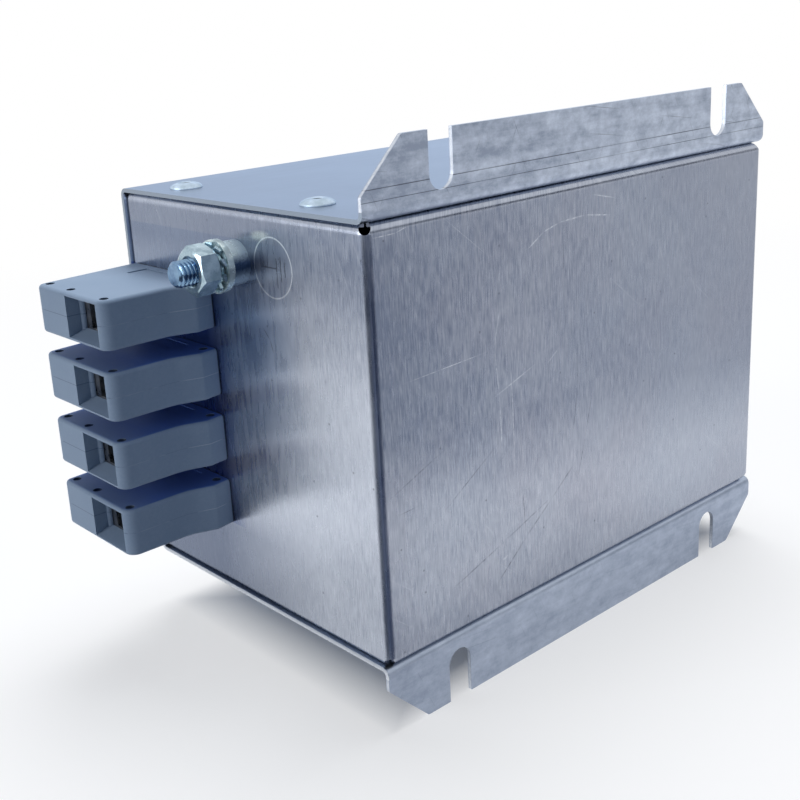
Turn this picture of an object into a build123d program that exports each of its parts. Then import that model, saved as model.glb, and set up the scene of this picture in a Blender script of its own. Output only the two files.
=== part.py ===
from build123d import *
from math import cos, radians, sin, sqrt
import os

# Four-line power filter in a folded sheet box, in millimetres.
# X runs along the box from the line end (-X) to the load end (+X), +Y points from the mounting face
# to the label face, and +Z runs across the two mounting flanges.
# The origin is the middle of the mounting face, which lies flat against a cabinet plate.

# Sheet box
LENGTH = 144.0             # outsides of the two end walls
DEPTH = 93.0               # mounting face to the outside of the label face
WIDTH = 100.0              # outsides of the cover's top and bottom
SHEET = 1.0                # thickness of both folded sheets
BEND_INSIDE = 1.0          # inside radius of every fold
LIP = 14.0                 # lips that the tray turns under the cover
COVER_OVERHANG = 0.3       # how far the cover passes each end wall
RELIEF_RADIUS = 1.2        # round relief where three folds of the tray meet
RELIEF_DROP = 0.9          # centre of that relief below the lip's outside
MITRE_GAP = 0.5            # slit between two neighbouring lips
LIP_CORNER_CUT = 3.0       # corner cut where the top lip meets the label-side lip

# Mounting flanges
FLANGE_REACH = 15.5        # from the cover's top or bottom to the flange's edge
FLANGE_STRAIGHT = 4.4      # upright part of the flange's end before its bevel
FLANGE_BEVEL = 11.4        # length of that bevel along X
FLANGE_CORNER = 1.0        # small rounding of the cut corners
SLOT_WIDTH = 7.0
SLOT_SPAN = 100.6          # between the centres of the slots along X
SLOT_FLOOR = 3.0           # closed end of a slot above the cover's top

# Blind rivets
RIVET_HOLE_RADIUS = 2.05
RIVET_SHANK_RADIUS = 2.0
RIVET_HEAD_RADIUS = 4.0
RIVET_HEAD_HEIGHT = 1.4
RIVET_CROWN_RADIUS = 2.6   # flat top of the head
RIVET_BULB_RADIUS = 2.9
RIVET_BULB_LENGTH = 3.2
RIVET_INSET = 8.5          # from the end wall's outside
RIVET_ROWS = (24.5, 76.0)  # heights above the mounting face

# Terminal blocks, drawn with +X pointing out of the wall and the parting plane at Z = 0
POLES = 4
POLE_PITCH = 16.8
BLOCK_THICKNESS = 11.8
BLOCK_REACH = 28.3         # how far a block stands out of the wall
BLOCK_HEIGHT = 30.8        # at its front
BLOCK_TAPER = 2.0          # how much higher its upper edge is at the wall
BLOCK_TOP_GAP = 2.6        # from the label face's outside to the block at the wall
FOOT_DROP = 2.4            # how far the foot reaches below the front part
FOOT_RISE = 0.8            # how much its underside rises again towards the wall
FOOT_LENGTH = 5.0
FOOT_CORNER = 1.6
FOOT_SLOPE = 6.5
FOOT_BEND = 11.0
NOSE_RADIUS = 3.0          # front corner next to the wire mouth
BROW_RADIUS = 1.6          # front corner away from it
BLOCK_EDGE = 1.0           # rounding of the outer edges
DIMPLE_RADIUS = 1.1        # round marks in the flat sides
DIMPLE_DEPTH = 0.6
DIMPLE_INSET = 2.4
DIMPLE_OVER_MOUTH = 1.1
DIMPLE_UNDER_MOUTH = 0.2
MARK_DEPTH = 0.25          # shallow field for the circuit mark
MARK_FROM_WALL = 5.2       # to its middle
MARK_LENGTH = 5.5
MARK_HEIGHT = 16.0

# Wire mouth
MOUTH_WIDTH = 14.3
MOUTH_HEIGHT = 10.0
MOUTH_WALL = 2.5           # wall between the mouth and the block's lower face
MOUTH_STRAIGHT = 3.4       # mouth to the ledge on its upper wall
MOUTH_LEDGE = 0.9          # how far that wall steps in at the throat
LEDGE_ROUNDING = 0.8
THROAT_HEIGHT = 7.0
THROAT_DEPTH = 4.4         # mouth to the clamp's chamber

# Neck through the wall
NECK_HEIGHT = 24.0
NECK_THICKNESS = 8.6
NECK_DEPTH = 8.0           # behind the wall
NECK_RISE = 1.2            # neck's lower side above the block's lower face
CUTOUT_GAP = 0.2
LATCH_LENGTH = 3.0
LATCH_HEIGHT = 1.0
LATCH_WIDTH = 10.0
LATCH_PLAY = 0.15
PEG_RADIUS = 1.5
PEG_LENGTH = 3.0
PEG_GAP = 0.1
PEG_INSET = 3.0            # front peg from the block's front and upper edge

# Clamp inside a block
CLAMP_LENGTH = 9.2
CLAMP_WALL = 1.0
CLAMP_THICKNESS = 8.2
CLAMP_WINDOW = 10.2
CLAMP_BRIDGE = 5.0
CLAMP_CORNER = 0.7
CLAMP_PLAY = 0.15
SCREW_RADIUS = 2.5         # M5 set screw
SCREW_LENGTH = 12.0
SCREW_TIP = 0.5            # how far its tip stands in the window
SCREW_SLOT_WIDTH = 0.9
SCREW_SLOT_DEPTH = 1.3
THREAD_GAP = 0.05
ACCESS_RADIUS = 3.6        # hole for the screwdriver
BAR_THICKNESS = 2.0
BAR_WIDTH = 6.0
BAR_TAB = 5.0              # current bar behind the neck

# Earth stud
STUD_RADIUS = 3.0          # M6
STUD_HEIGHT = 44.5         # above the mounting face
STUD_INSET = 13.4          # from the cover's top
STUD_FREE_END = 4.2        # thread beyond the nut
STUD_TIP_BEVEL = 0.7
STUD_HEAD_HEIGHT = 4.0
STUD_HOLE_GAP = 0.1
COLLAR_RADIUS = 5.2
COLLAR_LENGTH = 4.7
WASHER_RADIUS = 6.1
WASHER_THICKNESS = 1.5
LOCK_SPACE = 1.4           # height of the toothed washer over its twisted teeth
LOCK_RING = 0.7
LOCK_RADIUS = 5.7
LOCK_ROOT_RADIUS = 4.5
LOCK_TEETH = 10
LOCK_TOOTH_WIDTH = 1.75
LOCK_TWIST = 22.0
NUT_ACROSS_FLATS = 10.0
NUT_HEIGHT = 5.0
NUT_TURN = 12.0            # how far the nut is turned from level
NUT_BEVEL = 0.55
LUG_THICKNESS = 1.0
LUG_RADIUS = 5.5

# Choke
CORE_OUTER = 34.0
CORE_INNER = 20.0
CORE_HEIGHT = 24.0
CORE_BEVEL = 2.0
WIRE_RADIUS = 1.2
WINDING_BASE = 1.0         # inner layer of a winding
WINDING_TURNS = 7
WINDING_ARC = 64.0
WINDING_GAP = 0.15         # between core and winding
CRADLE_PLATE = 2.0
CRADLE_RIM = 2.0
CRADLE_RIM_HEIGHT = 4.0
PILLAR_RADIUS = 3.5
PILLAR_INSET = 6.0         # from the board's edges
PILLAR_PEG_RADIUS = 1.5
PILLAR_PEG_LENGTH = 3.0

# Circuit board
BOARD_SIZE = (98.0, 74.0)
BOARD_THICKNESS = 1.6
BOARD_RISE = 4.0           # above the windings
WIRE_HOLE_GAP = 0.8
CAPACITOR_LENGTH = 31.0
CAPACITOR_WIDTH = 11.0
CAPACITOR_EDGE = 1.0
CAPACITOR_GAP = 1.0        # below the leads that pass over
CAPACITOR_SHIFT = (31.5, 20.0)   # of the outer two from the middle one, in X and Z
DISC_SHIFT = (30.0, 24.0)
RESISTOR_ROWS = (-13.0, 13.0, 20.0)
DISC_RADIUS = 4.5
DISC_THICKNESS = 4.0
DISC_BEVEL = 1.0
RESISTOR_RADIUS = 1.6
RESISTOR_LENGTH = 10.0
RISER_INNER = 23.0         # distances from the choke's axis at which leads rise
RISER_MIDDLE = 27.0
RISER_OUTER = 31.0
RISERS = (                 # distance and angle in X and Z of each winding's line and load lead
    ((RISER_MIDDLE, 115.0), (RISER_MIDDLE, 65.0)),
    ((RISER_OUTER, 162.0), (RISER_INNER, 162.0)),
    ((RISER_INNER, -18.0), (RISER_OUTER, -18.0)),
    ((RISER_MIDDLE, -115.0), (RISER_MIDDLE, -65.0)),
)
WINDING_DIRECTIONS = (90.0, 180.0, 0.0, -90.0)
LEAD_BEVEL = 3.0           # of the corner where a lead turns level
LEAD_RUN_IN = 7.0          # straight end of a lead at its current bar
EARTH_WIRE_RADIUS = 1.1
EARTH_WIRE_START = (-38.0, 33.5)
LUG_TONGUE = 9.5           # from the stud's centre to the tongue's end
LUG_TONGUE_WIDTH = 4.5
EARTH_WIRE_RISE = 8.0      # of its run above the stud's centre

# Worked out from the sizes above
BEND_OUTSIDE = BEND_INSIDE + SHEET
HALF_LENGTH = LENGTH / 2
HALF_WIDTH = WIDTH / 2
STUD_ACROSS = HALF_WIDTH - STUD_INSET
TRAY_DEPTH = DEPTH - SHEET
TRAY_HALF_WIDTH = HALF_WIDTH - SHEET
HALF_THICKNESS = BLOCK_THICKNESS / 2
WALL_TOP = DEPTH - BLOCK_TOP_GAP
FRONT_TOP = WALL_TOP - BLOCK_TAPER
FRONT_LOW = FRONT_TOP - BLOCK_HEIGHT
FOOT_LOW = FRONT_LOW - FOOT_DROP
MOUTH_LOW = FRONT_LOW + MOUTH_WALL
MOUTH_TOP = MOUTH_LOW + MOUTH_WIDTH
THROAT_LOW = MOUTH_LOW + CLAMP_WALL
THROAT_TOP = MOUTH_TOP - MOUTH_LEDGE
CHAMBER_FRONT = BLOCK_REACH - THROAT_DEPTH
CLAMP_FRONT = CHAMBER_FRONT - CLAMP_PLAY
CLAMP_BACK = CLAMP_FRONT - CLAMP_LENGTH
CLAMP_MIDDLE = (CLAMP_FRONT + CLAMP_BACK) / 2
CLAMP_LOW = MOUTH_LOW
WINDOW_LOW = CLAMP_LOW + CLAMP_WALL
WINDOW_TOP = WINDOW_LOW + CLAMP_WINDOW
CLAMP_TOP = WINDOW_TOP + CLAMP_BRIDGE
BAR_MIDDLE = WINDOW_LOW + BAR_THICKNESS / 2
BAR_BACK = SHEET + NECK_DEPTH + BAR_TAB
NECK_LOW = FRONT_LOW + NECK_RISE
NECK_TOP = NECK_LOW + NECK_HEIGHT
WASHER_FACE = COLLAR_LENGTH
LOCK_FACE = WASHER_FACE + WASHER_THICKNESS
NUT_FACE = LOCK_FACE + LOCK_SPACE
STUD_REACH = NUT_FACE + NUT_HEIGHT + STUD_FREE_END
RING_LOW = SHEET + CRADLE_PLATE
WINDING_THICKNESS = WINDING_BASE + WIRE_RADIUS * 2
CORE_LOW = RING_LOW + WINDING_THICKNESS + WINDING_GAP
CORE_TOP = CORE_LOW + CORE_HEIGHT
WINDING_TOP = CORE_TOP + WINDING_GAP + WINDING_THICKNESS
WINDING_REACH = CORE_OUTER + WINDING_GAP + WINDING_THICKNESS
BOARD_LOW = WINDING_TOP + BOARD_RISE
BOARD_TOP = BOARD_LOW + BOARD_THICKNESS
LEAD_LEVEL = BAR_MIDDLE
CAPACITOR_HEIGHT = LEAD_LEVEL - WIRE_RADIUS - CAPACITOR_GAP - BOARD_TOP
POLE_PLACES = [POLE_PITCH * ((POLES - 1) / 2 - pole) for pole in range(POLES)]
RIVET_PLACES = [(side * (HALF_LENGTH - RIVET_INSET), row) for side in (-1, 1) for row in RIVET_ROWS]
CAPACITOR_PLACES = [(step * CAPACITOR_SHIFT[0], step * CAPACITOR_SHIFT[1]) for step in (0, -1, 1)]
DISC_PLACES = [(step * DISC_SHIFT[0], -step * DISC_SHIFT[1]) for step in (-1, 1)]
PILLAR_X, PILLAR_Z = (size / 2 - PILLAR_INSET for size in BOARD_SIZE)
PILLAR_PLACES = [(x, z) for x in (-PILLAR_X, PILLAR_X) for z in (-PILLAR_Z, PILLAR_Z)]
LINE_END = Pos(-HALF_LENGTH, 0, 0) * Rot(0, 180, 0)
LOAD_END = Pos(HALF_LENGTH, 0, 0)
LINE_STUD = Pos(-HALF_LENGTH, STUD_HEIGHT, STUD_ACROSS) * Rot(0, -90, 0)
LOAD_STUD = Pos(HALF_LENGTH, STUD_HEIGHT, STUD_ACROSS) * Rot(0, 90, 0)
CUT = 60.0                 # reach of a cutting body past what it cuts


def span_box(x, y, z):
    """Box between two limits on each axis."""
    size = [high - low for low, high in (x, y, z)]
    middle = [(high + low) / 2 for low, high in (x, y, z)]
    return Pos(*middle) * Box(*size)


def rod(radius, start, end):
    """Cylinder along Y from one height to another, at X = Z = 0."""
    return Pos(0, (start + end) / 2, 0) * Rot(90, 0, 0) * Cylinder(radius, abs(end - start))


def one(shape):
    """The single solid that a boolean left."""
    solids = shape.solids()
    return max(solids, key=lambda solid: solid.volume)


# Sheet box

def make_tray():
    shell = Pos(0, TRAY_DEPTH / 2, 0) * Box(LENGTH, TRAY_DEPTH, 2 * TRAY_HALF_WIDTH)
    shell = fillet(shell.edges(), BEND_OUTSIDE)
    room = Pos(0, TRAY_DEPTH / 2, 0) * Box(
        LENGTH - 2 * SHEET, TRAY_DEPTH - 2 * SHEET, 2 * TRAY_HALF_WIDTH - 2 * SHEET
    )
    shell -= fillet(room.edges(), BEND_INSIDE)
    opening = (LIP - HALF_LENGTH, HALF_LENGTH - LIP)
    shell -= span_box(opening, (LIP, TRAY_DEPTH + CUT), (-CUT, CUT))
    relief = Rot(90, 0, 0) * Cylinder(RELIEF_RADIUS, 4 * BEND_OUTSIDE)
    mitre = LIP * sqrt(2) + MITRE_GAP
    slit = Pos(0, mitre / 2, 0) * Box(MITRE_GAP, mitre, 2 * BEND_OUTSIDE)
    for side in (-1, 1):
        corner = Pos(0, TRAY_DEPTH, side * TRAY_HALF_WIDTH) * Rot(45, 0, 0)
        shell -= corner * Box(LENGTH + CUT, LIP_CORNER_CUT, LIP_CORNER_CUT)
        for end in (-1, 1):
            turn = Pos(end * HALF_LENGTH, 0, side * TRAY_HALF_WIDTH) * Rot(0, 0, end * 45)
            shell -= turn * Pos(0, 0, -side * RELIEF_DROP) * relief
            shell -= turn * slit
    for x, y in RIVET_PLACES:
        shell -= Pos(x, y, 0) * Cylinder(RIVET_HOLE_RADIUS, WIDTH)
    for place in POLE_PLACES:
        shell -= Pos(0, 0, place) * span_box(
            (-HALF_LENGTH - CUT, HALF_LENGTH + CUT),
            (NECK_LOW - CUTOUT_GAP, NECK_TOP + CUTOUT_GAP),
            (-NECK_THICKNESS / 2 - CUTOUT_GAP, NECK_THICKNESS / 2 + CUTOUT_GAP),
        )
    stud_hole = Rot(0, 90, 0) * Cylinder(STUD_RADIUS + STUD_HOLE_GAP, LENGTH + CUT)
    return one(shell - Pos(0, STUD_HEIGHT, STUD_ACROSS) * stud_hole)


def flange_outline():
    """Outline of both flanges' cut edges, in X and Z, for the flange above the top."""
    half = HALF_LENGTH + COVER_OVERHANG
    tip = HALF_WIDTH + FLANGE_REACH
    shoulder = HALF_WIDTH + FLANGE_STRAIGHT
    plate = Polygon(
        (-half, 0), (-half, shoulder), (-half + FLANGE_BEVEL, tip),
        (half - FLANGE_BEVEL, tip), (half, shoulder), (half, 0), align=None,
    )
    cut_corners = [corner for corner in plate.vertices() if corner.Y > 0]
    plate = fillet(cut_corners, FLANGE_CORNER)
    slot_centre = HALF_WIDTH + SLOT_FLOOR + SLOT_WIDTH / 2
    for side in (-1, 1):
        x = side * SLOT_SPAN / 2
        plate -= Pos(x, slot_centre) * Circle(SLOT_WIDTH / 2)
        plate -= Pos(x, slot_centre + CUT / 2) * Rectangle(SLOT_WIDTH, CUT)
    return plate


def make_cover():
    tip = HALF_WIDTH + FLANGE_REACH
    under, over = TRAY_HALF_WIDTH, HALF_WIDTH
    inner = FilletPolyline(
        (0, tip), (0, under), (TRAY_DEPTH, under), (TRAY_DEPTH, -under), (0, -under), (0, -tip),
        radius=[BEND_OUTSIDE, BEND_INSIDE, BEND_INSIDE, BEND_OUTSIDE],
    )
    outer = FilletPolyline(
        (SHEET, tip), (SHEET, over), (DEPTH, over), (DEPTH, -over), (SHEET, -over), (SHEET, -tip),
        radius=[BEND_INSIDE, BEND_OUTSIDE, BEND_OUTSIDE, BEND_INSIDE],
    )
    section = make_face(inner + outer + Line((0, tip), (SHEET, tip)) + Line((0, -tip), (SHEET, -tip)))
    cover = extrude(Plane.YZ * section, HALF_LENGTH + COVER_OVERHANG, both=True)
    frame = Pos(0, tip) * Rectangle(LENGTH + CUT, 2 * (FLANGE_REACH - SHEET)) - flange_outline()
    waste = extrude(Plane.XZ * frame, BEND_OUTSIDE + SHEET, both=True)
    cover -= waste
    cover -= mirror(waste, Plane.XY)
    for x, y in RIVET_PLACES:
        cover -= Pos(x, y, 0) * Cylinder(RIVET_HOLE_RADIUS, WIDTH + CUT)
    return one(cover)


def make_rivet():
    """Set blind rivet with its head on top, its head's seat at Z = 0."""
    grip = 2 * SHEET
    end = -grip - RIVET_BULB_LENGTH
    half = Polygon(
        (0, RIVET_HEAD_HEIGHT), (RIVET_CROWN_RADIUS, RIVET_HEAD_HEIGHT), (RIVET_HEAD_RADIUS, 0),
        (RIVET_SHANK_RADIUS, 0), (RIVET_SHANK_RADIUS, -grip), (RIVET_BULB_RADIUS, -grip),
        (RIVET_BULB_RADIUS, end), (0, end), align=None,
    )
    return revolve(Plane.XZ * half, Axis.Z)


def make_rivets():
    rivet = make_rivet()
    upper = [Pos(x, y, HALF_WIDTH) * rivet for x, y in RIVET_PLACES]
    lower = [Pos(x, y, -HALF_WIDTH) * Rot(180, 0, 0) * rivet for x, y in RIVET_PLACES]
    return upper + lower


# Terminal blocks

def block_outline():
    return make_face(
        FilletPolyline(
            (0, FOOT_LOW + FOOT_RISE),
            (FOOT_LENGTH, FOOT_LOW),
            (FOOT_LENGTH + FOOT_SLOPE, FRONT_LOW),
            (BLOCK_REACH, FRONT_LOW),
            (BLOCK_REACH, FRONT_TOP),
            (0, WALL_TOP),
            radius=[FOOT_CORNER, FOOT_BEND, NOSE_RADIUS, BROW_RADIUS],
        )
        + Line((0, WALL_TOP), (0, FOOT_LOW + FOOT_RISE))
    )


def mouth_room():
    """Wire mouth: a funnel with a rounded ledge on its upper wall, as it narrows to the clamp."""
    front = BLOCK_REACH + BLOCK_EDGE
    ledge = BLOCK_REACH - MOUTH_STRAIGHT
    plan = make_face(
        FilletPolyline(
            (ledge, MOUTH_TOP), (ledge, THROAT_TOP), (CHAMBER_FRONT, THROAT_TOP), radius=LEDGE_ROUNDING,
        )
        + Polyline(
            (CHAMBER_FRONT, THROAT_TOP), (CHAMBER_FRONT, THROAT_LOW), (BLOCK_REACH, MOUTH_LOW),
            (front, MOUTH_LOW), (front, MOUTH_TOP), (ledge, MOUTH_TOP),
        )
    )
    high, narrow = MOUTH_HEIGHT / 2, THROAT_HEIGHT / 2
    side = Polygon(
        (front, high), (BLOCK_REACH, high), (CHAMBER_FRONT, narrow),
        (CHAMBER_FRONT, -narrow), (BLOCK_REACH, -high), (front, -high), align=None,
    )
    return extrude(plan, HALF_THICKNESS, both=True) & extrude(Plane.XZ * side, WALL_TOP, both=True)


def latch():
    """Ramp on the neck that snaps behind the sheet."""
    catch = -SHEET - LATCH_PLAY
    low = NECK_THICKNESS / 2
    ramp = Polygon((catch, low), (catch, low + LATCH_HEIGHT), (catch - LATCH_LENGTH, low), align=None)
    return Pos(0, (NECK_LOW + NECK_TOP) / 2, 0) * extrude(Plane.XZ * ramp, LATCH_WIDTH / 2, both=True)


def make_housing():
    housing = extrude(block_outline(), HALF_THICKNESS, both=True)
    rim = [
        edge for edge in housing.edges()
        if abs(edge.center().Z) > HALF_THICKNESS - BLOCK_EDGE / 2 and edge.center().X > BLOCK_EDGE / 2
    ]
    housing = fillet(rim, BLOCK_EDGE)
    half_neck = NECK_THICKNESS / 2
    housing += span_box((-SHEET - NECK_DEPTH, 0), (NECK_LOW, NECK_TOP), (-half_neck, half_neck))
    housing += latch()
    housing += mirror(latch(), Plane.XY)
    housing -= mouth_room()
    half_clamp = CLAMP_THICKNESS / 2 + CLAMP_PLAY
    housing -= span_box(
        (CLAMP_BACK - CLAMP_PLAY, CHAMBER_FRONT), (CLAMP_LOW - CLAMP_PLAY, CLAMP_TOP + CLAMP_PLAY),
        (-half_clamp, half_clamp),
    )
    housing -= Pos(CLAMP_MIDDLE, 0, 0) * rod(ACCESS_RADIUS, CLAMP_TOP, WALL_TOP + BLOCK_EDGE)
    half_bar = BAR_WIDTH / 2 + CLAMP_PLAY
    housing -= span_box(
        (-SHEET - NECK_DEPTH - BLOCK_EDGE, CLAMP_BACK),
        (WINDOW_LOW - CLAMP_PLAY, WINDOW_LOW + BAR_THICKNESS + CLAMP_PLAY),
        (-half_bar, half_bar),
    )
    return housing


def peg_places():
    return (
        (BLOCK_REACH - PEG_INSET, FRONT_TOP - PEG_INSET),
        (CLAMP_BACK / 2, (WINDOW_TOP + CLAMP_TOP) / 2),
    )


def make_peg_half(housing):
    half = one(housing & span_box((-CUT, CUT), (0, 2 * CUT), (0, CUT)))
    for x, y in peg_places():
        half += Pos(x, y, 0) * Cylinder(PEG_RADIUS, 2 * PEG_LENGTH)
    return one(half)


def make_socket_half(housing):
    half = one(housing & span_box((-CUT, CUT), (0, 2 * CUT), (-CUT, 0)))
    for x, y in peg_places():
        half -= Pos(x, y, 0) * Cylinder(PEG_RADIUS + PEG_GAP, 2 * (PEG_LENGTH + PEG_GAP))
    front = BLOCK_REACH - DIMPLE_INSET
    dimples = (
        (front, FRONT_TOP - DIMPLE_INSET),
        (front, MOUTH_TOP + DIMPLE_OVER_MOUTH),
        (front, MOUTH_LOW - DIMPLE_UNDER_MOUTH),
        (DIMPLE_INSET, FOOT_LOW + FOOT_RISE + DIMPLE_INSET),
    )
    for x, y in dimples:
        half -= Pos(x, y, -HALF_THICKNESS) * Cylinder(DIMPLE_RADIUS, 2 * DIMPLE_DEPTH)
    mark_middle = (MARK_FROM_WALL, (MOUTH_TOP + WINDOW_TOP) / 2, -HALF_THICKNESS)
    half -= Pos(*mark_middle) * Box(MARK_LENGTH, MARK_HEIGHT, 2 * MARK_DEPTH)
    return one(half)


def make_clamp():
    half = CLAMP_THICKNESS / 2
    clamp = span_box((CLAMP_BACK, CLAMP_FRONT), (CLAMP_LOW, CLAMP_TOP), (-half, half))
    clamp = fillet(clamp.edges().filter_by(Axis.X), CLAMP_CORNER)
    clamp -= span_box((0, BLOCK_REACH), (WINDOW_LOW, WINDOW_TOP), (CLAMP_WALL - half, half - CLAMP_WALL))
    clamp -= Pos(CLAMP_MIDDLE, 0, 0) * rod(SCREW_RADIUS + THREAD_GAP, WINDOW_LOW, CLAMP_TOP + CLAMP_WALL)
    return one(clamp)


def make_clamp_screw():
    tip = WINDOW_TOP - SCREW_TIP
    top = tip + SCREW_LENGTH
    screw = rod(SCREW_RADIUS, tip, top)
    screw = chamfer(screw.edges().filter_by(GeomType.CIRCLE), SCREW_TIP)
    slot = Pos(0, top, 0) * Box(4 * SCREW_RADIUS, 2 * SCREW_SLOT_DEPTH, SCREW_SLOT_WIDTH)
    return Pos(CLAMP_MIDDLE, 0, 0) * one(screw - slot)


def make_current_bar():
    half = BAR_WIDTH / 2
    return span_box((-BAR_BACK, CLAMP_FRONT), (WINDOW_LOW, WINDOW_LOW + BAR_THICKNESS), (-half, half))


# Earth stud, drawn with +Z pointing out of the wall and the wall's outside at Z = 0

def ring(inside, outside, low, high):
    tube = Cylinder(outside, high - low) - Cylinder(inside, high - low)
    return Pos(0, 0, (low + high) / 2) * tube


def hexagon(low, high):
    """Hexagonal prism with both faces bevelled at the corners."""
    corner = NUT_ACROSS_FLATS / sqrt(3)
    height = high - low
    prism = extrude(RegularPolygon(corner, 6), height / 2, both=True)
    barrel = Cylinder(corner, height)
    barrel = chamfer(barrel.edges().filter_by(GeomType.CIRCLE), NUT_BEVEL, 2 * NUT_BEVEL)
    return Pos(0, 0, (low + high) / 2) * Rot(0, 0, NUT_TURN) * (prism & barrel)


def make_earth_bolt(inner_grip):
    head = -SHEET - inner_grip
    shank = Cylinder(STUD_RADIUS, STUD_REACH - head)
    shank = Pos(0, 0, (STUD_REACH + head) / 2) * shank
    shank = chamfer(shank.edges().group_by(Axis.Z)[-1], STUD_TIP_BEVEL)
    return one(shank + hexagon(head - STUD_HEAD_HEIGHT, head))


def make_collar():
    return one(ring(STUD_RADIUS + STUD_HOLE_GAP, COLLAR_RADIUS, 0, WASHER_FACE))


def make_flat_washer():
    return one(ring(STUD_RADIUS + STUD_HOLE_GAP, WASHER_RADIUS, WASHER_FACE, LOCK_FACE))


def make_lock_washer():
    washer = ring(STUD_RADIUS + STUD_HOLE_GAP, LOCK_ROOT_RADIUS, -LOCK_RING / 2, LOCK_RING / 2)
    root = LOCK_ROOT_RADIUS - LOCK_RING / 2
    tooth = Rot(LOCK_TWIST, 0, 0) * Box(LOCK_RADIUS - root, LOCK_TOOTH_WIDTH, LOCK_RING)
    for number in range(LOCK_TEETH):
        washer += Rot(0, 0, 360 / LOCK_TEETH * number) * Pos((root + LOCK_RADIUS) / 2, 0, 0) * tooth
    return one(Pos(0, 0, (LOCK_FACE + NUT_FACE) / 2) * washer)


def make_nut():
    nut = hexagon(NUT_FACE, NUT_FACE + NUT_HEIGHT)
    bore = STUD_RADIUS + THREAD_GAP
    nut -= Pos(0, 0, NUT_FACE + NUT_HEIGHT / 2) * Cylinder(bore, 2 * NUT_HEIGHT)
    countersink = Pos(0, 0, -NUT_BEVEL / 2) * Cone(bore, bore + NUT_BEVEL, NUT_BEVEL)
    for face, turn in ((NUT_FACE, 180), (NUT_FACE + NUT_HEIGHT, 0)):
        nut -= Pos(0, 0, face) * Rot(turn, 0, 0) * countersink
    return one(nut)


# Choke and circuit board, lying on the inside of the mounting face with their axes along Y

def wire_run(points, radius):
    """Round wire along straight runs."""
    path = Polyline(*points)
    start = Plane(origin=path @ 0, z_dir=path % 0)
    return sweep(start * Circle(radius), path=path, transition=Transition.RIGHT)


def core_section():
    section = Rectangle(CORE_OUTER - CORE_INNER, CORE_HEIGHT)
    section = chamfer(section.vertices(), CORE_BEVEL)
    return Pos((CORE_OUTER + CORE_INNER) / 2, (CORE_LOW + CORE_TOP) / 2) * section


def wrap_section(low, high):
    """Closed band round the core's section, between two distances from the core."""
    band = offset(core_section(), high, kind=Kind.INTERSECTION)
    return band - offset(core_section(), low, kind=Kind.INTERSECTION)


def make_core():
    return one(revolve(core_section(), Axis.Y))


def make_winding(pole):
    turn_angle = WINDING_ARC / WINDING_TURNS
    layer = wrap_section(WINDING_GAP, WINDING_GAP + WINDING_BASE)
    layer = revolve(layer, Axis.Y, WINDING_ARC - turn_angle)
    winding = Rot(0, -(WINDING_ARC - turn_angle) / 2, 0) * layer
    turn = wrap_section(WINDING_GAP, WINDING_GAP + WINDING_THICKNESS)
    turn = extrude(turn, WIRE_RADIUS, both=True)
    for number in range(WINDING_TURNS):
        winding += Rot(0, (number - (WINDING_TURNS - 1) / 2) * turn_angle, 0) * turn
    winding = Rot(0, -WINDING_DIRECTIONS[pole], 0) * winding
    for end, (radius, angle) in zip((-1, 1), RISERS[pole]):
        x, z = radius * cos(radians(angle)), radius * sin(radians(angle))
        bar_end = end * (HALF_LENGTH - BAR_BACK)
        across = POLE_PLACES[pole]
        winding += wire_run(
            [
                (x, WINDING_TOP - WIRE_RADIUS, z),
                (x, LEAD_LEVEL - LEAD_BEVEL, z),
                (x + end * LEAD_BEVEL, LEAD_LEVEL, z),
                (bar_end - end * LEAD_RUN_IN, LEAD_LEVEL, across),
                (bar_end, LEAD_LEVEL, across),
            ],
            WIRE_RADIUS,
        )
    return one(winding)


def board_plate(low, high):
    """Plate of the board's outline between two heights."""
    half_length, half_width = (size / 2 for size in BOARD_SIZE)
    return span_box((-half_length, half_length), (low, high), (-half_width, half_width))


def make_cradle():
    cradle = board_plate(SHEET, RING_LOW)
    cradle = fillet(cradle.edges().filter_by(Axis.Y), PILLAR_RADIUS)
    rim = WINDING_REACH + CRADLE_RIM
    cradle += rod(rim, SHEET, RING_LOW + CRADLE_RIM_HEIGHT)
    cradle -= rod(WINDING_REACH + WINDING_GAP, RING_LOW, RING_LOW + CUT)
    cradle -= rod(CORE_INNER - WINDING_THICKNESS - CRADLE_RIM, 0, CUT)
    for x, z in PILLAR_PLACES:
        cradle += Pos(x, 0, z) * rod(PILLAR_RADIUS, SHEET, BOARD_LOW)
        cradle += Pos(x, 0, z) * rod(PILLAR_PEG_RADIUS, BOARD_LOW, BOARD_TOP + PILLAR_PEG_LENGTH)
    return one(cradle)


def make_board():
    board = board_plate(BOARD_LOW, BOARD_TOP)
    for x, z in PILLAR_PLACES:
        board -= Pos(x, 0, z) * rod(PILLAR_PEG_RADIUS + PEG_GAP, 0, CUT)
    for pair in RISERS:
        for radius, angle in pair:
            x, z = radius * cos(radians(angle)), radius * sin(radians(angle))
            board -= Pos(x, 0, z) * rod(WIRE_RADIUS + WIRE_HOLE_GAP, 0, CUT)
    return one(board)


def make_capacitor(place):
    block = Box(CAPACITOR_LENGTH, CAPACITOR_HEIGHT, CAPACITOR_WIDTH)
    block = one(fillet(block.edges().filter_by(Axis.Y), CAPACITOR_EDGE))
    x, z = place
    return Pos(x, BOARD_TOP + CAPACITOR_HEIGHT / 2, z) * block


def make_discs():
    disc = Rot(0, 90, 0) * Cylinder(DISC_RADIUS, DISC_THICKNESS)
    disc = chamfer(disc.edges().filter_by(GeomType.CIRCLE), DISC_BEVEL)
    return [Pos(x, BOARD_TOP + DISC_RADIUS, z) * disc for x, z in DISC_PLACES]


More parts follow.
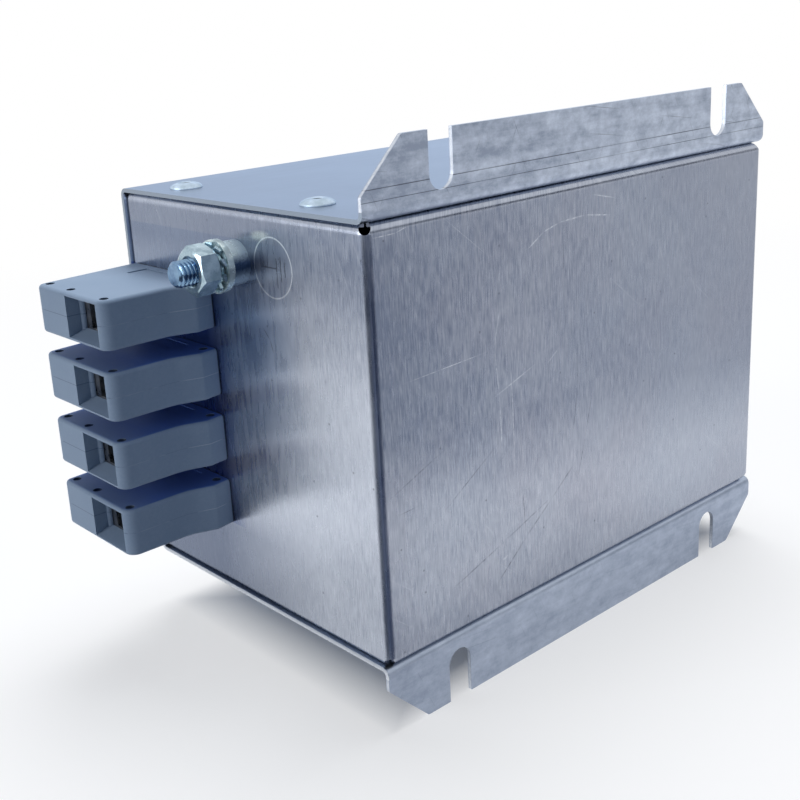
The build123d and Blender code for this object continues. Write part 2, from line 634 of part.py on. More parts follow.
def make_resistors():
    resistor = Rot(0, 90, 0) * Cylinder(RESISTOR_RADIUS, RESISTOR_LENGTH)
    return [Pos(0, BOARD_TOP + RESISTOR_RADIUS, z) * resistor for z in RESISTOR_ROWS]


def make_earth_lead():
    face = SHEET + LUG_THICKNESS
    lug = ring(STUD_RADIUS + STUD_HOLE_GAP, LUG_RADIUS, -face, -SHEET)
    root = (STUD_RADIUS + LUG_RADIUS) / 2
    half_tongue = LUG_TONGUE_WIDTH / 2
    lug += span_box((-half_tongue, half_tongue), (root, LUG_TONGUE), (-face, -SHEET))
    lug = LINE_STUD * lug
    x, z = EARTH_WIRE_START
    level = STUD_HEIGHT + EARTH_WIRE_RISE
    wall = -HALF_LENGTH + face
    wire = wire_run(
        [
            (x, BOARD_TOP, z),
            (x, level - LEAD_BEVEL, z),
            (x - LEAD_BEVEL, level, z),
            (wall + LEAD_RUN_IN, level, STUD_ACROSS),
            (wall, level, STUD_ACROSS),
        ],
        EARTH_WIRE_RADIUS,
    )
    return one(lug + wire)


def make_nodes():
    nodes = {"base_tray": make_tray(), "cover": make_cover(), "cover_rivets": make_rivets()}
    housing = make_housing()
    block = {
        "socket_half": make_socket_half(housing),
        "peg_half": make_peg_half(housing),
        "wire_clamp": make_clamp(),
        "current_bar": make_current_bar(),
    }
    screws = []
    for end, placed in (("line", LINE_END), ("load", LOAD_END)):
        for number, across in enumerate(POLE_PLACES, start=1):
            spot = Pos(0, 0, across) * placed
            for name, shape in block.items():
                nodes[f"{end}_{number}_{name}"] = spot * shape
            screws.append(spot * make_clamp_screw())
    nodes["clamp_screws"] = screws
    for end, placed, grip in (("line", LINE_STUD, LUG_THICKNESS), ("load", LOAD_STUD, 0)):
        nodes[f"{end}_earth_bolt"] = placed * make_earth_bolt(grip)
        nodes[f"{end}_earth_collar"] = placed * make_collar()
        nodes[f"{end}_flat_washer"] = placed * make_flat_washer()
        nodes[f"{end}_lock_washer"] = placed * make_lock_washer()
        nodes[f"{end}_earth_nut"] = placed * make_nut()
    nodes["choke_core"] = make_core()
    for pole in range(POLES):
        nodes[f"choke_winding_{pole + 1}"] = make_winding(pole)
    nodes["choke_cradle"] = make_cradle()
    nodes["circuit_board"] = make_board()
    for number, place in enumerate(CAPACITOR_PLACES, start=1):
        nodes[f"x_capacitor_{number}"] = make_capacitor(place)
    nodes["y_capacitors"] = make_discs()
    nodes["bleed_resistors"] = make_resistors()
    nodes["earth_lead"] = make_earth_lead()
    return nodes


os.makedirs("parts", exist_ok=True)
for name, shape in make_nodes().items():
    solids = shape if isinstance(shape, list) else [shape]
    flat = [solid for item in solids for solid in item.solids()]
    export_step(flat[0] if len(flat) == 1 else Compound(flat), f"parts/{name}.step")
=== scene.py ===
import math
import bpy
from mathutils import Matrix, Vector


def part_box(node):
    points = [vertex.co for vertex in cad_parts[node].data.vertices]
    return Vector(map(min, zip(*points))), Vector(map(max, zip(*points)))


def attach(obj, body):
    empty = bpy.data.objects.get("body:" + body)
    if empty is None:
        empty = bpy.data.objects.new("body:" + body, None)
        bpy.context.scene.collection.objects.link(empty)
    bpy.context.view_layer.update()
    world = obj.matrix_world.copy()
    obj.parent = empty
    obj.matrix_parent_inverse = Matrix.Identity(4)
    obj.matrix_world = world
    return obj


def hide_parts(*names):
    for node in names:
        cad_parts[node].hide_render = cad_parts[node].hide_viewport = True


# Power line filter in a folded sheet box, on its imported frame.
# X runs from the line end to the load end, +Y from the mounting face to the label face, Z is up.

MM = 0.001                    # the frame is in metres
SHARP_EDGE = 35               # degrees between two faces from which their edge stays sharp

# Camera of the photograph
CAMERA_PLACE = (-0.2160, -0.1675, 0.0876)
CAMERA_HEADING = 40.09        # degrees from +Y towards +X
CAMERA_TILT = 16.56           # degrees below level
CAMERA_ROLL = -3.51
CAMERA_LENS = 51.69
CAMERA_SHIFT = (0.05, -0.05)
CAMERA_CLIP = 0.01

# Colours, linear
WHITE = (1.0, 1.0, 1.0)
BLACK = (0.0, 0.0, 0.0)
TRAY_TONES = ((0.165, 0.197, 0.275), (0.600, 0.642, 0.725))
TRAY_LINE = (0.70, 0.74, 0.80)
DARK_LINE = (0.075, 0.085, 0.115)
WARM_TINT = (0.90, 0.82, 0.82)         # of faint patches on the base
BLOCK_REFLECTION_TINT = (0.45, 0.60, 0.80)       # painted reflection of the blocks on the wall beside them
WALL_GAP_SHADE_TINT = (0.15, 0.26, 0.62)      # painted shade on its strips between them
# Painted reflection of the collar's highlight on the wall
SHINE_TONE = (0.85, 0.88, 0.82)
PLATE_TONES = ((0.320, 0.375, 0.465), (0.420, 0.490, 0.610))
FLANGE_TONES = ((0.300, 0.350, 0.450), (0.640, 0.710, 0.835))
CUT_EDGE = (0.66, 0.70, 0.76)
END_EDGES = ((0.90, 0.92, 0.94), (0.26, 0.31, 0.38))          # of the cover, below and above: the pale one below is a painted highlight
ZINC_TONES = ((0.26, 0.37, 0.44), (0.50, 0.64, 0.72))
STUD_TONES = ((0.15, 0.25, 0.40), (0.24, 0.38, 0.54))
WASHER_TONES = ((0.62, 0.75, 0.76), (0.84, 0.95, 0.94))
COLLAR_TONES = ((0.34, 0.44, 0.54), (0.86, 1.00, 1.00))       # painted reflection, for its lower side and its top
# Painted reflection of a dark band on the collar
COLLAR_REFLECTED_BAND = (0.035, 0.075, 0.160)
CLAMP_TONES = ((0.16, 0.17, 0.19), (0.34, 0.35, 0.37))
BAR_TONES = ((0.45, 0.45, 0.44), (0.62, 0.62, 0.60))
RIVET_TONES = ((0.44, 0.55, 0.65), (0.64, 0.76, 0.90))
# Painted shade in the rivets' holes
HOLE_SHADE_TONE = (0.03, 0.04, 0.05)
BLOCK_TONES = ((0.235, 0.310, 0.415), (0.265, 0.340, 0.445))
BLOCK_LINE = (0.46, 0.52, 0.60)
FACING_SHADE_TINT = (0.30, 0.46, 0.95)       # painted shade of the flat sides that face the next block
# Dark of the parting lines, and of painted shade at the wall and in the dimples
SEAM_AND_SHADE_TONE = (0.015, 0.020, 0.035)

# Pieces in one plain finish each: word in the node's name, material, its tones, scale of its pattern,
# range of its roughness, metallic
PLAIN_FINISHES = (
    ("winding", "enamelled_wire", ((0.24, 0.06, 0.02), (0.33, 0.10, 0.03)), 300, (0.20, 0.35), 0.8),
    ("earth_lead", "copper_lead", ((0.40, 0.17, 0.09), (0.55, 0.26, 0.14)), 300, (0.25, 0.40), 1.0),
    ("choke_core", "ferrite", ((0.015, 0.015, 0.017), (0.035, 0.035, 0.040)), 400, (0.50, 0.70), 0.0),
    ("choke_cradle", "cradle_plastic", ((0.02, 0.02, 0.022), (0.03, 0.03, 0.033)), 200, (0.40, 0.55), 0.0),
    ("circuit_board", "laminate", ((0.02, 0.10, 0.04), (0.03, 0.14, 0.05)), 900, (0.30, 0.45), 0.0),
    ("x_capacitor", "capacitor_box", ((0.55, 0.38, 0.05), (0.62, 0.44, 0.07)), 150, (0.25, 0.35), 0.0),
    ("y_capacitors", "dipped_ceramic", ((0.03, 0.10, 0.32), (0.05, 0.14, 0.38)), 500, (0.30, 0.45), 0.0),
    ("resistors", "lacquer", ((0.20, 0.36, 0.42), (0.26, 0.42, 0.48)), 500, (0.25, 0.40), 0.0),
)

# Light
WORLD_STRENGTH = 0.11
WORLD_TONE = (0.60, 0.90, 1.45)        # of its diffuse light only
KEY_LAMP = ((0.25, 0.22, 1.05), 0.7, 12.8)     # place, size and power
SIDE_LAMP = ((-0.97, 0.27, 0.17), 0.5, 4.0)
LAMP_AIM = (0.0, 0.045, 0.0)

# Floor
FLOOR_TONE = (0.97, 0.97, 0.97)
FLOOR_BOUNCE = (0.45, 0.47, 0.50)
FLOOR_GLOW = (0.60, 1.0)      # share of the floor that is plain white, near the object and far off
FLOOR_FADE = (0.20, 0.60)     # distances between which it grows
FLOOR_EDGE = 15.0             # how far in under the box it fades out, in millimetres
FLOOR_FRONT = (0, 10)         # the same at the mounting face, in Y
FLOOR_REACH = 6.0

# Glowing cards that show in the metal only, as painted reflections: two on the floor in front of the fold,
# which stand for shade there, and upright ones.
# Corners and emission tones of each
CARDS = (
    (
        "dark_card",
        ((-0.085, -0.02, -0.064), (-0.06, -0.02, -0.064), (0.32, -0.81, -0.064), (-0.72, -0.625, -0.064)),
        ((0.080, 0.105, 0.170), (0.110, 0.135, 0.210)),
    ),
    (
        "grey_card",
        ((-0.095, 0.0, -0.063), (-0.085, -0.02, -0.063), (-0.72, -0.625, -0.063), (-0.95, 0.08, -0.063)),
        ((0.070, 0.085, 0.115), (0.100, 0.115, 0.150)),
    ),
    (
        "room_card",
        ((0.20, -1.00, 0.03), (0.95, -0.48, 0.03), (0.95, -0.48, 0.26), (0.20, -1.00, 0.26)),
        ((0.090, 0.105, 0.140), (0.120, 0.135, 0.175)),
    ),
    (
        "pale_card",
        ((0.05, 1.55, -0.10), (1.51, 0.33, -0.10), (1.51, 0.33, 0.70), (0.05, 1.55, 0.70)),
        ((0.62, 0.75, 0.96), (0.68, 0.81, 1.00)),
    ),
)

# Box, in millimetres
WALL_X = 72.0                 # end walls' outsides, from the middle
COVER_END = 72.3
COVER_HALF = 50.0
BOX_DEPTH = 92.0
SHEET = 1.0

# Terminal blocks, in millimetres
POLE_PITCH = 16.8
ROW_HALF = 31.1               # from the middle of the row to its outer faces
BLOCK_LOW = 59.0              # heights of a block's two narrow sides
BLOCK_HIGH = 86.0
BLOCK_FIELD = ((14.0, 12.0), (72.5, 11.0))     # middle and half size within its outline, out and in Y
DIMPLES = ((25.9, 86.0), (25.9, 75.5), (25.9, 59.9), (2.4, 58.4))     # from the wall and in Y
DIMPLE_RADIUS = 1.15
DIMPLE_LEVELS = (5.20, 5.84)  # from a block's middle plane
FACING_INSET = 1.5            # from the outer faces of the row, which face no other block
FACING_FADE = (19, 28, 1.0, 0.4)               # outwards, towards the light
PARTING_LINE = (0.05, 0.10, 1.0, 0.0)          # from a block's middle plane
PARTING_WEAR = (14, 20, 1.0, 0.35)             # outwards
WALL_CONTACT_SHADOW = (0.15, 0.45, 1.0, 0.0)             # painted contact shadow where a block meets the wall, outwards

# Painted light and shade of the tray, and other regions of it: stretches in millimetres and, where given,
# the shares at their two ends
BASE_SHADE = 0.25
BASE_LEAN = 0.1               # of its lighter lower part, which climbs towards the line end
BASE_LIGHT_LOW = (-24, -4, 0.34, 0.0)          # in Z
BASE_DARK_LEFT = ((-70, -30, 0.16, 0.0), (-12, 8))                    # in X and Z
BASE_DARK_FOOT = ((-30, 10, 0.26, 0.12), (-50, -34, 1.0, 0.0))        # in X and Z
WALL_SHADE = (12, 40, 0.92, 0.12)              # in Z
WALL_LOW_SHADE = ((20, 62, 0.12, 0.92), (-32, -18, 1.0, 0.0))              # in Y and Z: painted shade low on the wall beside the blocks
RIM_LIGHT = (46.6, 47.8, 0.0, 0.30)            # in Z: painted highlight along the top bends
# Painted reflection of the blocks on the end wall beside them, and painted shade on its strips between them
BESIDE_BLOCKS = ((22, 40), (-14, 24), (24, 34, 1.0, 0.3))             # in Y, and in Z twice
BESIDE_TOP = 42.0             # in Z, where it stops
BETWEEN_BLOCKS = ((50, 60), (-26, -8, 0.82, 1.0))                     # in Y and Z
PATTERN_FADES = ((12, 42, 1.0, 0.22), (-30, 50, 1.0, 0.5))            # in Y and X
BASE_SKIN = 0.3               # depth within which a face belongs to the base

# Painted shading of the cover, and other regions of it, in the same form
PLATE_LEAN = (-70, 70, -0.35, 0.35)            # in X: painted shading, lighter towards the load end
FLANGE_LEAN = (-70, -10, -0.14, 0.0)           # in X: painted shading, darker towards the line end
LOWER_LEAN = (-30, 50, 0.0, 0.15)              # in X, how much darker the painted shading makes the lower flange
LOW_EDGE = (-50, -48)                          # in Z, where the end edge turns from its painted highlight to dark
FLANGE_SKIN = 1.6             # depth within which a face belongs to a flange
FLANGE_BEND = 1.5             # from the box to where the flange is flat
END_SKIN = 0.1                # depth within which a face belongs to an end edge

# Scratches of the base in X and Z, in millimetres: points of each and its half width
BRIGHT_SCRATCHES = (
    (((-70.1, 46.1), (-63.8, 46.2), (-60.3, 47.1)), 0.14),
    (((-24.7, 35.8), (-18.9, 39.1), (-13.1, 40.4), (-4.1, 40.7), (5.3, 39.3)), 0.22),
    (((-1.0, 45.0), (6.9, 43.2)), 0.20),
    (((-34.0, 24.3), (-36.0, 16.2), (-34.7, 4.2), (-34.2, -10.0)), 0.16),
    (((-30.7, 11.1), (-30.0, -13.4)), 0.14),
    (((-22.5, 8.8), (-36.0, 4.5)), 0.17),
    (((-39.0, 15.5), (-62.4, 14.6)), 0.13),
    (((-13.5, 11.0), (-18.1, 8.0)), 0.15),
    (((-40.4, -25.4), (-37.7, -28.8)), 0.20),
    (((-34.9, -36.2), (-32.9, -35.7)), 0.42),
)
DARK_SCRATCHES = (
    (((-7.3, 10.1), (-7.1, -1.0), (-9.1, -12.7)), 0.16),
    (((-1.8, -4.5), (-4.3, -14.6), (-7.3, -24.5)), 0.20),
    (((-8.4, -20.0), (-17.1, -26.5), (-26.5, -33.2), (-37.0, -41.7)), 0.26),
    (((-17.1, -26.0), (-33.8, -31.6), (-52.1, -37.4)), 0.22),
    (((-53.0, -3.4), (-68.8, -9.5)), 0.18),
    (((-35.8, -7.0), (-53.8, -17.9)), 0.18),
    (((-27.6, -20.4), (-26.7, -30.9)), 0.18),
    (((-12.1, 36.0), (-11.9, 28.2)), 0.14),
    (((-66.7, -14.0), (-60.5, -13.7)), 0.15),
)
WALL_SCRATCHES = ((((36.5, 22.5), (34.2, 20.1), (33.2, 17.0)), 0.16),)     # in Y and Z
SHINE = ((((38.5, 43.2), (31.5, 43.9)), 1.3),)                # painted reflection of the collar's highlight: a pale spot above the earth mark, in Y and Z
FLANGE_CREASES = ((55.6, 0.14), (53.2, 0.10))                 # heights and half widths of the upper flange's creases, with painted shade along them
STROKE_SHARE = 0.58           # of a scratch's run that each half of its stroke covers

# Fine scratches strewn over a face: angle in degrees, length and width of the cells that can hold
# one each, half width, share of the cells that do, and shift of the pattern
TRAY_STREWN = (
    (38, (30, 9), 0.10, 0.14, 0.0),
    (66, (18, 7), 0.09, 0.12, 0.57),
)
FLANGE_STREWN = (
    (8, (26, 5), 0.10, 0.4, 0.13),
    (64, (9, 5), 0.08, 0.3, 0.41),
    (118, (7, 4), 0.08, 0.25, 0.77),
)

# Earth mark engraved beside the stud on the line end's wall, in Y and Z and in millimetres
MARK_CENTRE = (31.0, 36.8)
MARK_RADIUS = 6.75
MARK_LINE = 0.22              # half width of its circle
MARK_BAR = 0.17               # half width of its bars
MARK_STEM = (32.3, 2.5)       # middle and half length
MARK_BARS = ((29.6, 35.8, 3.30), (28.1, 36.8, 2.75), (26.7, 36.9, 1.65))     # height, middle, half length

# Earth studs: their middle, their collar and their M6 thread
STUD_Z = 36.6 * MM
COLLAR_RADIUS = 5.2 * MM
THREAD_PITCH = 1.0 * MM
THREAD_DEPTH = 0.55 * MM
THREAD_LENGTH = 14.0 * MM
THREAD_STEPS = 12             # rings to a turn
THREAD_ROOT = 1.2             # its depth from the middle of the root, before it is held to 1
THREAD_FLANK = 3.0            # and how fast it gets shallower
STUD_RADIUS = 3.0 * MM
STUD_BEVEL = 0.7 * MM
STUD_HEAD_HEIGHT = 4.0 * MM
STUD_HEAD_FLATS = 5.0 * MM
STUD_SIDES = 72

# Blind rivets
RIVET_HEAD_RADIUS = 4.0 * MM
RIVET_HEAD_HEIGHT = 1.4 * MM
RIVET_HEAD_EDGE = (0.05 * MM, 0.10 * MM)       # how far its seat is set in, and its rim's height
RIVET_RIM_RADIUS = 1.9 * MM
RIVET_HOLE_RADIUS = 1.15 * MM
RIVET_HOLE_DEPTH = 1.1 * MM
RIVET_HOLE_BEVEL = 0.35 * MM
RIVET_SHANK_RADIUS = 2.0 * MM
RIVET_GRIP = 2.0 * MM
RIVET_BULB_RADIUS = 2.9 * MM
RIVET_BULB_LENGTH = 3.2 * MM
RIVET_BULB_TIP = 0.4 * MM
RIVET_TIP_SHARE = 0.6         # of the shank's radius
MANDREL_INSET = 0.02 * MM     # of the hole's mouth under the top of the head
HOLE_SHADE_FADE = 0.15 * MM
# Broken end of the mandrel: shares of the hole's radius, and heights over its floor
MANDREL_END = ((0.96, 0.0), (0.80, 0.0), (0.55, 0.35 * MM))
DOME_STEPS = 12
RIVET_SIDES = 48


class Graph:
    """A material and short calls that add nodes to it."""

    def __init__(self, name, metallic=0.0, roughness=0.5, specular=0.5):
        self.material = bpy.data.materials.new(name)
        self.material.use_nodes = True
        self.tree = self.material.node_tree
        self.shader = self.tree.nodes["Principled BSDF"]
        self.shader.inputs["Metallic"].default_value = metallic
        self.shader.inputs["Roughness"].default_value = roughness
        self.shader.inputs["Specular IOR Level"].default_value = specular
        self.place = self.add("ShaderNodeTexCoord").outputs["Object"]

    def add(self, kind, inputs=(), **settings):
        node = self.tree.nodes.new(kind)
        for name, value in settings.items():
            setattr(node, name, value)
        for key, value in dict(inputs).items():
            self.put(node.inputs[key], value)
        return node

    def put(self, socket, value):
        if isinstance(value, bpy.types.NodeSocket):
            self.tree.links.new(value, socket)
        elif socket.type == "RGBA" and len(value) == 3:
            socket.default_value = (*value, 1.0)
        else:
            socket.default_value = value

    def calc(self, operation, *values, clamp=False):
        node = self.add("ShaderNodeMath", enumerate(values), operation=operation, use_clamp=clamp)
        return node.outputs[0]

    def chain(self, operation, values):
        """One operation over all the values, from the first to the last."""
        result = values[0]
        for value in values[1:]:
            result = self.calc(operation, result, value)
        return result

    def plus(self, *values):
        return self.chain("ADD", values)

    def minus(self, first, second, clamp=False):
        return self.calc("SUBTRACT", first, second, clamp=clamp)

    def times(self, *values):
        return self.chain("MULTIPLY", values)

    def most(self, *values):
        return self.chain("MAXIMUM", values)

    def size(self, value):
        return self.calc("ABSOLUTE", value)

    def above(self, value, limit):
        return self.calc("GREATER_THAN", value, limit)

    def below(self, value, limit):
        return self.calc("LESS_THAN", value, limit)

    def within(self, value, middle, half):
        """1 where the value is at most half away from the middle, both in millimetres, or else 0."""
        return self.calc("COMPARE", value, middle * MM, half * MM)

    def parts(self, vector):
        return self.add("ShaderNodeSeparateXYZ", {0: vector}).outputs[:]

    def colour_parts(self, colour):
        return self.add("ShaderNodeSeparateColor", {0: colour}).outputs[:]

    def vector(self, x, y, z=0.0):
        return self.add("ShaderNodeCombineXYZ", {0: x, 1: y, 2: z}).outputs[0]

    def length(self, vector):
        return self.add("ShaderNodeVectorMath", {0: vector}, operation="LENGTH").outputs["Value"]

    def mapped(self, vector, scale=(1, 1, 1), turn=0.0, shift=(0, 0, 0)):
        inputs = {"Vector": vector, "Scale": scale, "Rotation": (0, 0, turn), "Location": shift}
        return self.add("ShaderNodeMapping", inputs).outputs[0]

    def noise(self, vector, scale=1.0, detail=2.0, roughness=0.5):
        inputs = {"Vector": vector, "Scale": scale, "Detail": detail, "Roughness": roughness}
        return self.add("ShaderNodeTexNoise", inputs).outputs["Fac"]

    def cells(self, vector, scale=1.0):
        inputs = {"Vector": vector, "Scale": scale}
        return self.add("ShaderNodeTexVoronoi", inputs, voronoi_dimensions="2D").outputs

    def spread(self, value, low, high, to_low=0.0, to_high=1.0):
        """The value's stretch from low to high, laid over another stretch and clamped to it."""
        inputs = {0: value, 1: low, 2: high, 3: to_low, 4: to_high}
        return self.add("ShaderNodeMapRange", inputs).outputs[0]

    def ramp(self, place, low, high, to_low=0.0, to_high=1.0):
        """The same for a place, with its stretch in millimetres."""
        return self.spread(place, low * MM, high * MM, to_low, to_high)

    def mix(self, share, first, second, blend="MIX"):
        node = self.add("ShaderNodeMix", data_type="RGBA", blend_type=blend)
        self.put(node.inputs["Factor"], share)
        self.put(node.inputs["A"], first)
        self.put(node.inputs["B"], second)
        return node.outputs["Result"]

    def near(self, value, centre, half_width):
        """1 where the value is at the centre, falling to 0 at the half width."""
        return self.spread(self.size(self.minus(value, centre)), half_width * 0.5, half_width, 1.0, 0.0)

    def bump(self, height, distance, strength):
        """Normals of a relief whose full height is the distance, in millimetres."""
        inputs = {"Height": height, "Distance": distance * MM, "Strength": strength}
        return self.add("ShaderNodeBump", inputs).outputs[0]

    def brush_along_z(self, strength):
        """Stretches reflections across a grain that runs along Z."""
        tangent = self.add("ShaderNodeTangent", direction_type="RADIAL", axis="Z")
        self.put(self.shader.inputs["Tangent"], tangent.outputs[0])
        self.shader.inputs["Anisotropic"].default_value = strength

    def finish(self, colour, roughness=None, normal=None, metallic=None):
        for name, value in (
            ("Base Color", colour), ("Roughness", roughness), ("Normal", normal), ("Metallic", metallic),
        ):
            if value is not None:
                self.put(self.shader.inputs[name], value)
        return self.material


def scratches(graph, flat, turn, cell, width, kept, seed):
    """Straight fine scratches at one angle: one to a cell, and only the given share of them."""
    long, across = cell
    turned = graph.mapped(flat, turn=math.radians(turn), shift=(seed, seed / 2, 0))
    scaled = graph.mapped(turned, scale=(1 / (long * MM), 1 / (across * MM), 1))
    cells = graph.cells(scaled)
    apart = graph.add("ShaderNodeVectorMath", {0: scaled, 1: cells["Position"]}, operation="SUBTRACT")
    along, beside, _ = graph.parts(apart.outputs[0])
    red, green, _ = graph.colour_parts(cells["Color"])
    line = graph.near(beside, 0.0, width / across)
    ends = graph.spread(graph.size(along), 0.08, 0.30, 1.0, 0.0)
    chosen = graph.spread(red, 1 - kept, 1 - kept + 0.02)
    return graph.times(line, graph.times(ends, chosen), graph.spread(green, 0.0, 1.0, 0.3, 1.0))


def strewn(graph, flat, kinds):
    """Mask of several kinds of straight fine scratches."""
    return graph.most(*[scratches(graph, flat, *kind) for kind in kinds])


def strokes(graph, flat, marks):
    """Mask of bent scratches, each given by its points and half width: they thin out at each point."""
    nearest = 1.0
    for points, half_width in marks:
        for start, end in zip(points, points[1:]):
            middle = (Vector(start) + Vector(end)) / 2 * MM
            run = (Vector(end) - Vector(start)) * MM
            inputs = {
                "Vector": flat, "Location": (*middle, 0), "Rotation": (0, 0, math.atan2(run.y, run.x)),
                "Scale": (run.length * STROKE_SHARE, half_width * MM, 1),
            }
            unit = graph.add("ShaderNodeMapping", inputs, vector_type="TEXTURE").outputs[0]
            nearest = graph.calc("MINIMUM", nearest, graph.length(unit))
    return graph.spread(nearest, 0.4, 1.0, 1.0, 0.0)


def earth_mark(graph, y, z):
    """Masks of the circle, and of the stem and bars, of the protective earth mark."""
    centre_y, centre_z = MARK_CENTRE
    away = graph.vector(graph.minus(y, centre_y * MM), graph.minus(z, centre_z * MM))
    circle = graph.near(graph.length(away), MARK_RADIUS * MM, MARK_LINE * MM)
    bars = [graph.times(graph.within(z, centre_z, MARK_BAR), graph.within(y, *MARK_STEM))]
    for height, middle, half in MARK_BARS:
        bars.append(graph.times(graph.within(y, height, MARK_BAR), graph.within(z, middle, half)))
    return circle, graph.most(*bars)


def brushed(graph, flat, fine, long):
    """Brushed grain that runs along the second coordinate, and broader streaks, both about 0."""
    across, along = 1 / (fine * MM), 1 / (long * MM)
    grain = graph.noise(graph.mapped(flat, scale=(across, along, 1)), detail=2.0, roughness=0.6)
    streaks = graph.noise(graph.mapped(flat, scale=(0.22 * across, 0.45 * along, 1)), detail=2.0)
    return graph.minus(grain, 0.5), graph.minus(streaks, 0.5)


def tray_shade(graph, x, y, z, on_wall):
    """Painted light and shade of the sheet over its whole face, on the base and on the end walls."""
    base = graph.plus(graph.ramp(graph.plus(z, graph.times(x, BASE_LEAN)), *BASE_LIGHT_LOW), BASE_SHADE)
    for in_x, in_z in (BASE_DARK_LEFT, BASE_DARK_FOOT):
        base = graph.minus(base, graph.times(graph.ramp(x, *in_x), graph.ramp(z, *in_z)))
    in_y, in_z = WALL_LOW_SHADE
    low_wall_shade = graph.times(graph.ramp(y, *in_y), graph.ramp(z, *in_z))
    wall = graph.minus(graph.ramp(z, *WALL_SHADE), low_wall_shade)
    shade = graph.add("ShaderNodeMix", {0: on_wall, 2: base, 3: wall}, data_type="FLOAT").outputs[0]
    return graph.plus(shade, graph.ramp(z, *RIM_LIGHT))


def beside_blocks(graph, y, z):
    """Masks of the painted reflection of the blocks on the wall beside them, and of the painted shade on its
    strips between them.
    """
    in_y, rise, fall = BESIDE_BLOCKS
    beside = graph.times(graph.ramp(y, *in_y), graph.times(graph.ramp(z, *rise), graph.ramp(z, *fall)))
    in_y, in_z = BETWEEN_BLOCKS
    between = graph.times(graph.ramp(y, *in_y), graph.within(z, 0.0, ROW_HALF), graph.ramp(z, *in_z))
    return graph.times(beside, graph.below(z, BESIDE_TOP * MM)), between


def tray_texture(graph, x, y, flat, grain, streaks, cloud):
    """Cloud, grain, streaks and mottle in one, about 0: fainter up the end walls and to the right."""
    mottle = graph.noise(graph.mapped(flat, scale=(650, 240, 1)), detail=4.0, roughness=0.7)
    texture = graph.plus(
        graph.times(cloud, 0.55), graph.times(grain, 0.80), graph.times(streaks, 0.20),
        graph.times(graph.minus(mottle, 0.5), 0.55),
    )
    in_y, in_x = PATTERN_FADES
    return graph.times(texture, graph.ramp(y, *in_y), graph.ramp(x, *in_x))


def pit_mask(graph, flat):
    """Small round pits in a few of the cells."""
    pits = graph.cells(flat, 150.0)
    red, _, _ = graph.colour_parts(pits["Color"])
    return graph.times(graph.spread(pits["Distance"], 0.025, 0.05, 1.0, 0.0), graph.spread(red, 0.88, 0.90))


def tray_colour(graph, x, y, z, flat, texture):
    """The bare sheet with its painted light and shade: warmer patches on its base, and dark painted
    reflection where its end walls face the blocks.
    """
    on_wall = graph.above(graph.size(x), (WALL_X - SHEET) * MM)
    shade = graph.plus(tray_shade(graph, x, y, z, on_wall), texture)
    colour = graph.mix(graph.spread(shade, 0.0, 1.0), *TRAY_TONES)
    warm = graph.noise(graph.mapped(flat, shift=(3, 1, 0)), scale=22.0, detail=3.0)
    warm = graph.minus(graph.spread(warm, 0.42, 0.72, 0.0, 0.4), on_wall, clamp=True)
    colour = graph.mix(warm, colour, WARM_TINT, "MULTIPLY")
    # Painted reflection of the blocks on the end walls, and painted shade between them
    beside, between = beside_blocks(graph, y, z)
    colour = graph.mix(graph.times(beside, on_wall), colour, BLOCK_REFLECTION_TINT, "MULTIPLY")
    return graph.mix(graph.times(between, on_wall), colour, WALL_GAP_SHADE_TINT, "MULTIPLY")


def tray_marks(graph, x, y, z, flat, line_end, fine_bright):
    """Masks of the tray's light marks and of its dark ones."""
    on_base = graph.below(y, BASE_SKIN * MM)
    base = graph.vector(x, z)
    broken = graph.spread(graph.noise(flat, scale=900.0), 0.38, 0.6, 0.15, 0.75)
    bright = graph.times(strokes(graph, base, BRIGHT_SCRATCHES), broken)
    broken = graph.spread(graph.noise(flat, scale=700.0), 0.35, 0.6, 0.2, 0.75)
    dark = graph.times(strokes(graph, base, DARK_SCRATCHES), broken)
    circle, bars = earth_mark(graph, y, z)
    bars = graph.most(bars, strokes(graph, graph.vector(y, z), WALL_SCRATCHES))
    bright = graph.most(
        graph.times(bright, on_base), graph.times(fine_bright, 0.35), graph.times(circle, line_end),
    )
    dark = graph.most(
        graph.times(dark, on_base), graph.times(pit_mask(graph, flat), 0.7), graph.times(bars, line_end),
    )
    return bright, dark


def tray_material():
    graph = Graph("brushed_tray", metallic=1.0)
    x, y, z = graph.parts(graph.place)
    unrolled = graph.plus(x, graph.times(y, graph.calc("SIGN", x)))
    flat = graph.vector(unrolled, z)
    grain, streaks = brushed(graph, flat, 0.30, 5)
    cloud = graph.minus(graph.noise(flat, scale=34.0, detail=4.0, roughness=0.62), 0.5)
    texture = tray_texture(graph, x, y, flat, grain, streaks, cloud)
    colour = tray_colour(graph, x, y, z, flat, texture)
    line_end = graph.below(x, (SHEET - WALL_X) * MM)
    # Painted reflection of the collar's highlight on the line end's wall
    shine = graph.times(strokes(graph, graph.vector(y, z), SHINE), line_end)
    colour = graph.mix(graph.times(shine, 0.4), colour, SHINE_TONE)
    fine_bright = strewn(graph, flat, TRAY_STREWN)
    bright, dark = tray_marks(graph, x, y, z, flat, line_end, fine_bright)
    colour = graph.mix(graph.times(bright, 0.8), colour, TRAY_LINE)
    colour = graph.mix(graph.times(dark, 0.75), colour, DARK_LINE)
    rough = graph.spread(graph.plus(streaks, cloud), -0.25, 0.25, 0.23, 0.32)
    height = graph.minus(graph.times(grain, 1.3), fine_bright)
    graph.brush_along_z(0.8)
    return graph.finish(colour, rough, graph.bump(height, 0.012, 0.45))


